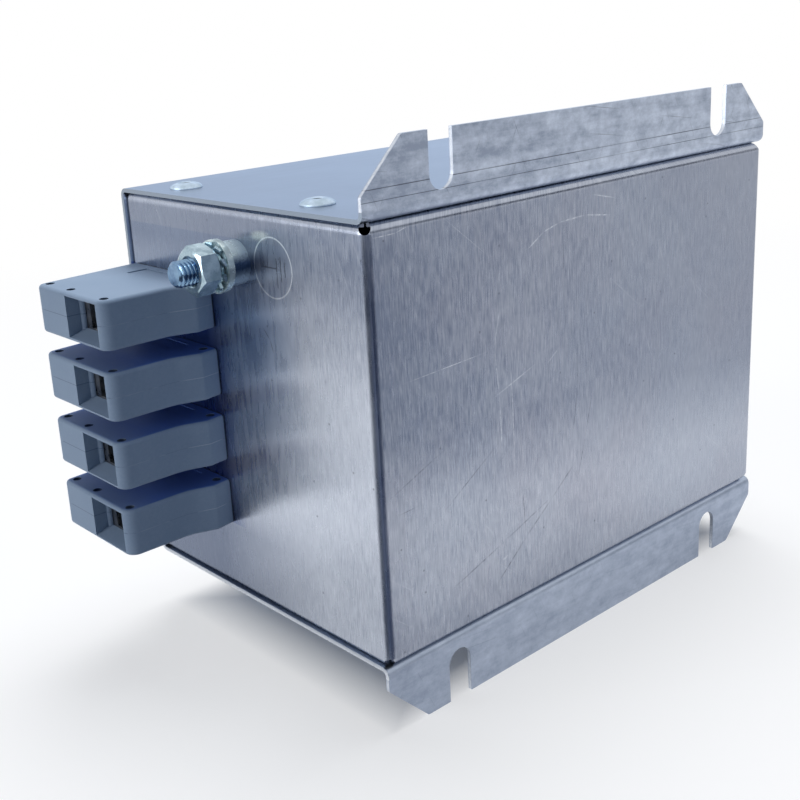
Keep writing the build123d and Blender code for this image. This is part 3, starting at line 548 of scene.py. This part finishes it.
def plate_colour(graph, x, grain, streaks):
    """The cover's large faces: a faint grain, and painted shading that makes them lighter towards the load
    end.
    """
    share = graph.times(graph.plus(grain, streaks), 0.35)
    share = graph.plus(share, graph.ramp(x, *PLATE_LEAN))
    return graph.mix(graph.spread(share, -0.5, 0.5), *PLATE_TONES)


def flange_marks(graph, flat, reach, lower):
    """Mask of the flanges' scratches, fewer on the lower one, and of the painted shade along the upper one's
    creases.
    """
    marks = graph.times(strewn(graph, flat, FLANGE_STREWN), graph.spread(lower, 0.0, 1.0, 1.0, 0.4))
    creases = graph.most(*[graph.near(reach, height * MM, half * MM) for height, half in FLANGE_CREASES])
    broken = graph.noise(graph.mapped(flat, scale=(45, 3, 1)), detail=3.0)
    broken = graph.spread(broken, 0.36, 0.55, 0.35, 1.0)
    creases = graph.minus(graph.times(creases, broken), lower, clamp=True)
    return graph.most(graph.times(marks, 0.65), creases)


def flange_colour(graph, x, flat, mottle, lower):
    """The flanges: mottled and smeared, with painted shading that darkens them towards the line end and on
    the lower one, which is also calmer.
    """
    smears = graph.noise(graph.mapped(flat, scale=(28, 330, 1)), detail=4.0, roughness=0.6)
    patchiness = graph.plus(graph.times(mottle, 0.9), graph.times(smears, 0.5))
    patchiness = graph.plus(patchiness, graph.ramp(x, *FLANGE_LEAN))
    patchiness = graph.minus(patchiness, graph.times(lower, graph.ramp(x, *LOWER_LEAN)))
    calm = graph.times(graph.minus(patchiness, 0.70), graph.spread(lower, 0.0, 1.0, 1.0, 0.5))
    calm = graph.minus(calm, graph.times(lower, 0.07))
    return graph.mix(graph.spread(calm, -0.20, 0.22), *FLANGE_TONES)


def cover_material():
    graph = Graph("rolled_cover", metallic=1.0)
    x, y, z = graph.parts(graph.place)
    flat = graph.vector(x, graph.plus(y, z))
    turned = graph.vector(graph.plus(y, z), x)
    grain, streaks = brushed(graph, turned, 0.5, 30)
    cloud = graph.noise(flat, scale=30.0, detail=4.0, roughness=0.6)
    plate = plate_colour(graph, x, grain, streaks)
    mottle = graph.noise(graph.mapped(flat, scale=(190, 260, 1)), detail=6.0, roughness=0.72)
    lower = graph.below(z, 0.0)
    reach = graph.size(z)
    marks = flange_marks(graph, flat, reach, lower)
    # Dark scratches, and painted shade along the creases
    flange = graph.mix(graph.times(marks, 0.8), flange_colour(graph, x, flat, mottle, lower), DARK_LINE)
    beyond = graph.above(reach, (COVER_HALF + FLANGE_BEND) * MM)
    folded = graph.ramp(reach, COVER_HALF - SHEET, COVER_HALF)
    on_flange = graph.times(graph.below(y, FLANGE_SKIN * MM), folded)
    colour = graph.mix(on_flange, plate, flange)
    sheared = graph.times(beyond, graph.near(y, SHEET / 2 * MM, SHEET * 0.49 * MM))
    torn = graph.spread(graph.noise(graph.place, scale=1400.0, detail=3.0), 0.35, 0.65, 0.55, 1.0)
    colour = graph.mix(graph.times(sheared, torn), colour, CUT_EDGE)
    end_edge = graph.above(graph.size(x), (COVER_END - END_SKIN) * MM)
    end_edge = graph.minus(end_edge, beyond, clamp=True)
    # Painted highlight on the lower part of the end edges
    colour = graph.mix(end_edge, colour, graph.mix(graph.ramp(z, *LOW_EDGE), *END_EDGES))
    rough = graph.spread(cloud, 0.3, 0.7, 0.28, 0.34)
    rough = graph.plus(rough, graph.times(on_flange, 0.10))
    height = graph.plus(graph.times(grain, 0.4), graph.times(mottle, on_flange))
    height = graph.minus(height, marks)
    # The painted highlight below is not metallic
    highlit_low_edge = graph.times(end_edge, graph.below(z, sum(LOW_EDGE) / 2 * MM))
    metallic = graph.minus(1.0, highlit_low_edge)
    return graph.finish(colour, rough, graph.bump(height, 0.015, 0.6), metallic)


def zinc_material(name, tones=ZINC_TONES, roughness=(0.12, 0.26), metallic=1.0):
    graph = Graph(name, metallic=metallic)
    cloud = graph.noise(graph.place, scale=420.0, detail=4.0, roughness=0.6)
    fine = graph.noise(graph.place, scale=2600.0, detail=2.0)
    colour = graph.mix(graph.spread(cloud, 0.35, 0.65), *tones)
    rough = graph.spread(graph.plus(cloud, graph.times(fine, 0.5)), 0.5, 1.0, *roughness)
    return graph.finish(colour, rough, graph.bump(fine, 0.02, 0.25))


def collar_material():
    """Zinc with a painted reflection: a pale top and a dark blue band at the height of the stud."""
    graph = Graph("collar_zinc", metallic=0.45)
    _, _, z = graph.parts(graph.place)
    cloud = graph.noise(graph.mapped(graph.place, scale=(1, 0.3, 1)), scale=420.0, detail=4.0, roughness=0.6)
    height = graph.calc("DIVIDE", graph.minus(z, STUD_Z), COLLAR_RADIUS)
    height = graph.plus(height, graph.times(graph.minus(cloud, 0.5), 0.25))
    colour = graph.mix(graph.spread(height, -0.1, 0.65), *COLLAR_TONES)
    # Painted dark blue band of reflection
    band = graph.times(graph.spread(height, -0.45, -0.10), graph.spread(height, 0.15, 0.55, 1.0, 0.0))
    colour = graph.mix(band, colour, COLLAR_REFLECTED_BAND)
    fine = graph.noise(graph.place, scale=2600.0, detail=2.0)
    rough = graph.spread(cloud, 0.35, 0.65, 0.20, 0.34)
    return graph.finish(colour, rough, graph.bump(fine, 0.02, 0.25))


def rivet_material():
    """Rivet metal with painted shade in its middle, in the hole where the broken mandrel sits."""
    graph = Graph("rivet_aluminium", metallic=1.0)
    x, y, _ = graph.parts(graph.place)
    low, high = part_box("cover_rivets")
    aside = graph.minus(graph.size(x), high.x - RIVET_HEAD_RADIUS)
    rise = graph.size(graph.minus(y, (low.y + high.y) / 2))
    rise = graph.minus(rise, (high.y - low.y) / 2 - RIVET_HEAD_RADIUS)
    off = graph.length(graph.vector(aside, rise))
    cloud = graph.noise(graph.place, scale=420.0, detail=4.0, roughness=0.6)
    fine = graph.noise(graph.place, scale=2600.0, detail=2.0)
    colour = graph.mix(graph.spread(cloud, 0.35, 0.65), *RIVET_TONES)
    # Painted shade in the hole
    middle = graph.spread(off, RIVET_HOLE_RADIUS, RIVET_HOLE_RADIUS + HOLE_SHADE_FADE, 1.0, 0.0)
    colour = graph.mix(middle, colour, HOLE_SHADE_TONE)
    rough = graph.spread(cloud, 0.35, 0.65, 0.44, 0.56)
    return graph.finish(colour, rough, graph.bump(fine, 0.02, 0.25))


def facing_mask(graph, out, y, z, off_middle):
    """The flat sides that face the next block, with the risers of their shallow fields, which take painted
    shade.
    """
    normal = graph.add("ShaderNodeTexCoord").outputs["Normal"]
    _, _, upright = graph.parts(normal)
    facing = graph.spread(graph.size(upright), 0.80, 0.97)
    in_out, in_y = BLOCK_FIELD
    inside = graph.times(graph.within(y, *in_y), graph.within(out, *in_out))
    facing = graph.times(graph.most(facing, inside), graph.above(off_middle, DIMPLE_LEVELS[0] * MM))
    facing = graph.times(facing, graph.within(z, 0.0, ROW_HALF - FACING_INSET))
    return graph.times(facing, graph.ramp(out, *FACING_FADE))


def dimple_mask(graph, out, y, off_middle):
    """Floors of the round marks in the flat sides, which take painted shade."""
    local = graph.vector(out, y)
    nearest = 1.0
    for spot_out, spot_y in DIMPLES:
        centre = (spot_out * MM, spot_y * MM, 0)
        apart = graph.add("ShaderNodeVectorMath", {0: local, 1: centre}, operation="DISTANCE")
        nearest = graph.calc("MINIMUM", nearest, apart.outputs["Value"])
    low, high = DIMPLE_LEVELS
    sunk = graph.times(graph.above(off_middle, low * MM), graph.below(off_middle, high * MM))
    return graph.times(sunk, graph.below(nearest, DIMPLE_RADIUS * MM))


def block_material():
    graph = Graph("moulded_block", specular=0.15)
    x, y, z = graph.parts(graph.place)
    out = graph.minus(graph.size(x), WALL_X * MM)
    pole = graph.calc("WRAP", z, POLE_PITCH * MM, 0.0)
    off_middle = graph.size(graph.minus(pole, POLE_PITCH / 2 * MM))
    facing = facing_mask(graph, out, y, z, off_middle)
    cloud = graph.noise(graph.place, scale=60.0, detail=3.0)
    speckle = graph.noise(graph.place, scale=1500.0, detail=3.0, roughness=0.7)
    share = graph.plus(graph.times(cloud, 0.5), graph.times(speckle, 0.5))
    colour = graph.mix(graph.spread(share, 0.38, 0.62), *BLOCK_TONES)
    # Painted shade of the sides that face the next block
    colour = graph.mix(facing, colour, FACING_SHADE_TINT, "MULTIPLY")
    parting = graph.ramp(off_middle, *PARTING_LINE)
    narrow_side = graph.most(graph.below(y, BLOCK_LOW * MM), graph.above(y, BLOCK_HIGH * MM))
    patchiness = graph.noise(graph.mapped(graph.place, scale=(110, 70, 8)), detail=4.0)
    patchiness = graph.times(graph.spread(patchiness, 0.46, 0.58), graph.ramp(out, *PARTING_WEAR))
    bright = graph.times(graph.times(parting, patchiness), narrow_side)
    colour = graph.mix(bright, colour, BLOCK_LINE)
    dark = graph.times(parting, graph.minus(0.45, graph.times(narrow_side, 0.30)))
    dark = graph.minus(dark, bright, clamp=True)
    # Painted shade in the dimples, and painted contact shadow where the block meets the wall, over the dark
    # parting lines
    sunk = dimple_mask(graph, out, y, off_middle)
    contact_shadow = graph.ramp(out, *WALL_CONTACT_SHADOW)
    colour = graph.mix(graph.most(contact_shadow, dark, graph.times(sunk, 0.7)), colour, SEAM_AND_SHADE_TONE)
    rough = graph.spread(speckle, 0.3, 0.7, 0.42, 0.55)
    height = graph.minus(graph.times(speckle, 0.4), parting)
    return graph.finish(colour, rough, graph.bump(height, 0.03, 0.5))


def plain_material(name, tones, scale, roughness, metallic):
    """A material of two tones in a cloud pattern, with a fine bump."""
    graph = Graph(name, metallic=metallic)
    cloud = graph.noise(graph.place, scale=scale, detail=4.0, roughness=0.6)
    fine = graph.noise(graph.place, scale=scale * 6, detail=2.0)
    colour = graph.mix(graph.spread(cloud, 0.35, 0.65), *tones)
    rough = graph.spread(fine, 0.3, 0.7, *roughness)
    return graph.finish(colour, rough, graph.bump(fine, 0.02, 0.5))


def new_piece(name, vertices, faces, material):
    """A smooth mesh object of the part, with its sharp edges kept, riding on the body."""
    mesh = bpy.data.meshes.new(name)
    mesh.from_pydata(vertices, [], faces)
    mesh.validate()
    mesh.update()
    mesh.shade_smooth()
    mesh.set_sharp_from_angle(angle=math.radians(SHARP_EDGE))
    mesh.materials.append(material)
    piece = bpy.data.objects.new(name, mesh)
    bpy.context.scene.collection.objects.link(piece)
    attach(piece, "root")
    return piece


def rings_mesh(rings):
    """Vertices and faces of a closed skin over rings of equal counts, with a fan over each end."""
    count = len(rings[0])
    vertices = [point for ring in rings for point in ring]
    faces = []
    for row in range(len(rings) - 1):
        for column in range(count):
            beside = (column + 1) % count
            low, high = row * count, (row + 1) * count
            faces.append((low + column, low + beside, high + beside, high + column))
    for ring, order in ((0, -1), (len(rings) - 1, 1)):
        middle = sum((Vector(point) for point in rings[ring]), Vector()) / count
        vertices.append(tuple(middle))
        for column in range(count):
            corners = [ring * count + column, ring * count + (column + 1) % count][::order]
            faces.append((*corners, len(vertices) - 1))
    return vertices, faces


def ring_points(radius_at, height, count):
    """Ring round Z whose radius is given for each angle."""
    points = []
    for number in range(count):
        angle = math.tau * number / count
        radius = radius_at(angle)
        points.append((radius * math.cos(angle), radius * math.sin(angle), height))
    return points


def head_radius(angle):
    """Distance from the stud's middle to the edge of its hexagon head."""
    return STUD_HEAD_FLATS / math.cos((angle + math.pi / 6) % (math.pi / 3) - math.pi / 6)


def thread_radius(angle, height, length):
    """Radius of the thread, which grows from its start and ends in a bevelled tip."""
    turn = (height / THREAD_PITCH - angle / math.tau) % 1.0
    depth = THREAD_DEPTH * min(1.0, max(0.0, THREAD_ROOT - abs(turn - 0.5) * THREAD_FLANK))
    depth *= min(1.0, (height - length + THREAD_LENGTH) / THREAD_PITCH)
    bevel = STUD_RADIUS - STUD_BEVEL + length - height
    return min(STUD_RADIUS - depth, max(bevel, 0.0))


def stud_rings(length):
    """Rings of a hexagon head bolt with a real thread, from the head at 0 to its tip."""
    start = length - THREAD_LENGTH
    rings = [ring_points(head_radius, height, STUD_SIDES) for height in (0.0, STUD_HEAD_HEIGHT)]
    rings += [ring_points(lambda _: STUD_RADIUS, height, STUD_SIDES) for height in (STUD_HEAD_HEIGHT, start)]
    step = THREAD_PITCH / THREAD_STEPS
    for number in range(1, round(THREAD_LENGTH / step) + 1):
        height = start + number * step
        rings.append(ring_points(lambda angle: thread_radius(angle, height, length), height, STUD_SIDES))
    return rings


def rivet_profile():
    """Half section of a set blind rivet with a domed head, seated at height 0."""
    end = -RIVET_GRIP - RIVET_BULB_LENGTH
    inset, rim = RIVET_HEAD_EDGE
    shank = [
        (RIVET_SHANK_RADIUS * RIVET_TIP_SHARE, end),
        (RIVET_SHANK_RADIUS, end + RIVET_BULB_TIP),
        (RIVET_BULB_RADIUS, end + RIVET_BULB_LENGTH / 2),
        (RIVET_BULB_RADIUS, -RIVET_GRIP),
        (RIVET_SHANK_RADIUS, -RIVET_GRIP),
        (RIVET_SHANK_RADIUS, 0.0),
        (RIVET_HEAD_RADIUS - inset, 0.0),
    ]
    top = math.acos(RIVET_RIM_RADIUS / RIVET_HEAD_RADIUS)
    rise = RIVET_HEAD_HEIGHT / math.sin(top)
    dome = []
    for number in range(DOME_STEPS + 1):
        share = number / DOME_STEPS
        angle = top * share
        dome.append((RIVET_HEAD_RADIUS * math.cos(angle), rim * (1 - share) + rise * math.sin(angle)))
    floor = RIVET_HEAD_HEIGHT - RIVET_HOLE_DEPTH
    hole = [
        (RIVET_HOLE_RADIUS + RIVET_HOLE_BEVEL, RIVET_HEAD_HEIGHT - MANDREL_INSET),
        (RIVET_HOLE_RADIUS, RIVET_HEAD_HEIGHT - RIVET_HOLE_BEVEL),
    ]
    hole += [(RIVET_HOLE_RADIUS * share, floor + height) for share, height in MANDREL_END]
    return shank + dome + hole


def make_studs(material):
    for end, out in (("line", -1), ("load", 1)):
        low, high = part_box(f"{end}_earth_bolt")
        middle = (low + high) / 2
        head = low.x if out > 0 else high.x
        place = Matrix.Translation((head, middle.y, middle.z)) @ Matrix.Rotation(out * math.pi / 2, 4, "Y")
        vertices, faces = rings_mesh(stud_rings(high.x - low.x))
        vertices = [place @ Vector(vertex) for vertex in vertices]
        stud = new_piece(f"{end}_threaded_stud", vertices, faces, material)
        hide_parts(f"{end}_earth_bolt")


def make_rivets(material):
    low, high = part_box("cover_rivets")
    vertices, faces = [], []
    skin, skin_faces = rings_mesh(
        [ring_points(lambda _: radius, height, RIVET_SIDES) for radius, height in rivet_profile()]
    )
    for x in (low.x + RIVET_HEAD_RADIUS, high.x - RIVET_HEAD_RADIUS):
        for y in (low.y + RIVET_HEAD_RADIUS, high.y - RIVET_HEAD_RADIUS):
            for turn in (0.0, math.pi):
                place = Matrix.Translation((x, y, 0)) @ Matrix.Rotation(turn, 4, "X")
                place = place @ Matrix.Translation((0, 0, COVER_HALF * MM))
                faces += [tuple(index + len(vertices) for index in face) for face in skin_faces]
                vertices += [place @ Vector(vertex) for vertex in skin]
    rivets = new_piece("domed_rivets", vertices, faces, material)
    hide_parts("cover_rivets")


def dress_nodes(nodes, finishes):
    """Gives each carried-over node the material of the first finish whose word its name holds."""
    for name, node in nodes.items():
        material = next(material for word, material in finishes if word in name)
        node.data.materials.clear()
        node.data.materials.append(material)


def seen_rays(tree):
    """1 for rays of the camera and of clear reflections and refractions, or else 0."""
    rays = tree.nodes.new("ShaderNodeLightPath")
    seen = rays.outputs["Is Camera Ray"]
    for name in ("Is Glossy Ray", "Is Transmission Ray"):
        most = tree.nodes.new("ShaderNodeMath")
        most.operation = "MAXIMUM"
        tree.links.new(seen, most.inputs[0])
        tree.links.new(rays.outputs[name], most.inputs[1])
        seen = most.outputs[0]
    return seen


def stage_sheet(name, corners, material):
    """One flat face of the studio."""
    mesh = bpy.data.meshes.new(name)
    mesh.from_pydata(corners, [], [tuple(range(len(corners)))])
    mesh.materials.append(material)
    sheet = bpy.data.objects.new(name, mesh)
    bpy.context.scene.collection.objects.link(sheet)
    return sheet


def make_floor():
    """Plain floor under the lower flange: it keeps the shadow and passes into white further out."""
    graph = Graph("floor", roughness=0.8, specular=0.0)
    seen = seen_rays(graph.tree)
    x, y, _ = graph.parts(graph.place)
    open_side = graph.most(
        graph.ramp(y, *FLOOR_FRONT, 1.0, 0.0),
        graph.ramp(y, BOX_DEPTH - FLOOR_EDGE, BOX_DEPTH),
        graph.ramp(graph.size(x), WALL_X - FLOOR_EDGE, WALL_X),
    )
    far = graph.spread(graph.length(graph.vector(x, y)), *FLOOR_FADE, *FLOOR_GLOW)
    far = graph.times(far, graph.times(seen, open_side))
    tone = graph.mix(seen, FLOOR_BOUNCE, FLOOR_TONE)
    graph.put(graph.shader.inputs["Emission Strength"], far)
    graph.put(graph.shader.inputs["Emission Color"], WHITE)
    graph.finish(graph.mix(far, tone, BLACK))
    corners = [(FLOOR_REACH * x, FLOOR_REACH * y, 0) for x, y in ((-1, -1), (1, -1), (1, 1), (-1, 1))]
    floor = stage_sheet("floor", corners, graph.material)
    floor.location.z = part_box("cover")[0].z


def make_world():
    world = bpy.data.worlds.new("studio")
    world.use_nodes = True
    tree = world.node_tree
    background = tree.nodes["Background"]
    seen = seen_rays(tree)
    strength = tree.nodes.new("ShaderNodeMapRange")
    tree.links.new(seen, strength.inputs["Value"])
    strength.inputs["To Min"].default_value = WORLD_STRENGTH
    strength.inputs["To Max"].default_value = 1.0
    tree.links.new(strength.outputs[0], background.inputs["Strength"])
    tone = tree.nodes.new("ShaderNodeMix")
    tone.data_type = "RGBA"
    tree.links.new(seen, tone.inputs["Factor"])
    tone.inputs["A"].default_value = (*WORLD_TONE, 1.0)
    tone.inputs["B"].default_value = (*WHITE, 1.0)
    tree.links.new(tone.outputs["Result"], background.inputs["Color"])
    bpy.context.scene.world = world


def make_card(name, corners, tones):
    """Flat studio card through the given corners, which glows in its tones and shows only in reflections, as
    a painted reflection.
    """
    graph = Graph(name, roughness=0.9, specular=0.0)
    weave = graph.noise(graph.place, scale=4.0)
    graph.put(graph.shader.inputs["Emission Color"], graph.mix(weave, *tones))
    graph.put(graph.shader.inputs["Emission Strength"], 1.0)
    graph.put(graph.shader.inputs["Base Color"], BLACK)
    card = stage_sheet(name, corners, graph.material)
    card.visible_camera = False
    card.visible_diffuse = False
    card.visible_shadow = False


def soft_light(name, place, size, power, mirrored=True):
    light = bpy.data.lights.new(name, "AREA")
    light.shape = "RECTANGLE"
    light.size = light.size_y = size
    light.energy = power
    lamp = bpy.data.objects.new(name, light)
    lamp.location = place
    lamp.rotation_euler = (Vector(LAMP_AIM) - Vector(place)).to_track_quat("-Z", "Y").to_euler()
    lamp.visible_glossy = mirrored
    bpy.context.scene.collection.objects.link(lamp)


def make_camera():
    data = bpy.data.cameras.new("camera")
    data.lens = CAMERA_LENS
    data.shift_x, data.shift_y = CAMERA_SHIFT
    data.clip_start = CAMERA_CLIP
    camera = bpy.data.objects.new("camera", data)
    turn = Matrix.Rotation(-math.radians(CAMERA_HEADING), 3, "Z")
    turn = turn @ Matrix.Rotation(math.radians(90 - CAMERA_TILT), 3, "X")
    turn = turn @ Matrix.Rotation(math.radians(CAMERA_ROLL), 3, "Z")
    camera.location = CAMERA_PLACE
    camera.rotation_euler = turn.to_euler()
    bpy.context.scene.collection.objects.link(camera)
    bpy.context.scene.camera = camera


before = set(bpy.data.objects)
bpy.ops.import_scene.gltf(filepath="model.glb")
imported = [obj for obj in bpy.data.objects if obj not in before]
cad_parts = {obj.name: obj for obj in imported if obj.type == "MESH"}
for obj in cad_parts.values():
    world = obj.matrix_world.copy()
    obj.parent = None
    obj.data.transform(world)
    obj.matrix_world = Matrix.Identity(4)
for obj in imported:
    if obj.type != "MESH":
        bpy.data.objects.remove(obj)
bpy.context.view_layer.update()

zinc = zinc_material("zinc_plated", metallic=0.75)
finishes = [
    ("base_tray", tray_material()),
    ("cover_rivets", zinc),
    ("earth_collar", collar_material()),
    ("flat_washer", zinc_material("washer_zinc", WASHER_TONES, (0.18, 0.32), 0.6)),
    ("cover", cover_material()),
    ("_half", block_material()),
    ("wire_clamp", zinc_material("clamp_steel", CLAMP_TONES, (0.22, 0.4))),
    ("current_bar", zinc_material("tinned_bar", BAR_TONES, (0.3, 0.45))),
]
finishes += [(word, plain_material(*finish)) for word, *finish in PLAIN_FINISHES]
finishes.append(("", zinc))
dress_nodes(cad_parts, finishes)
make_studs(zinc_material("stud_zinc", STUD_TONES))
make_rivets(rivet_material())

make_floor()
make_world()
for card in CARDS:
    make_card(*card)
soft_light("key", *KEY_LAMP, mirrored=False)
soft_light("side", *SIDE_LAMP)
make_camera()
bpy.context.scene.view_settings.view_transform = "Standard"
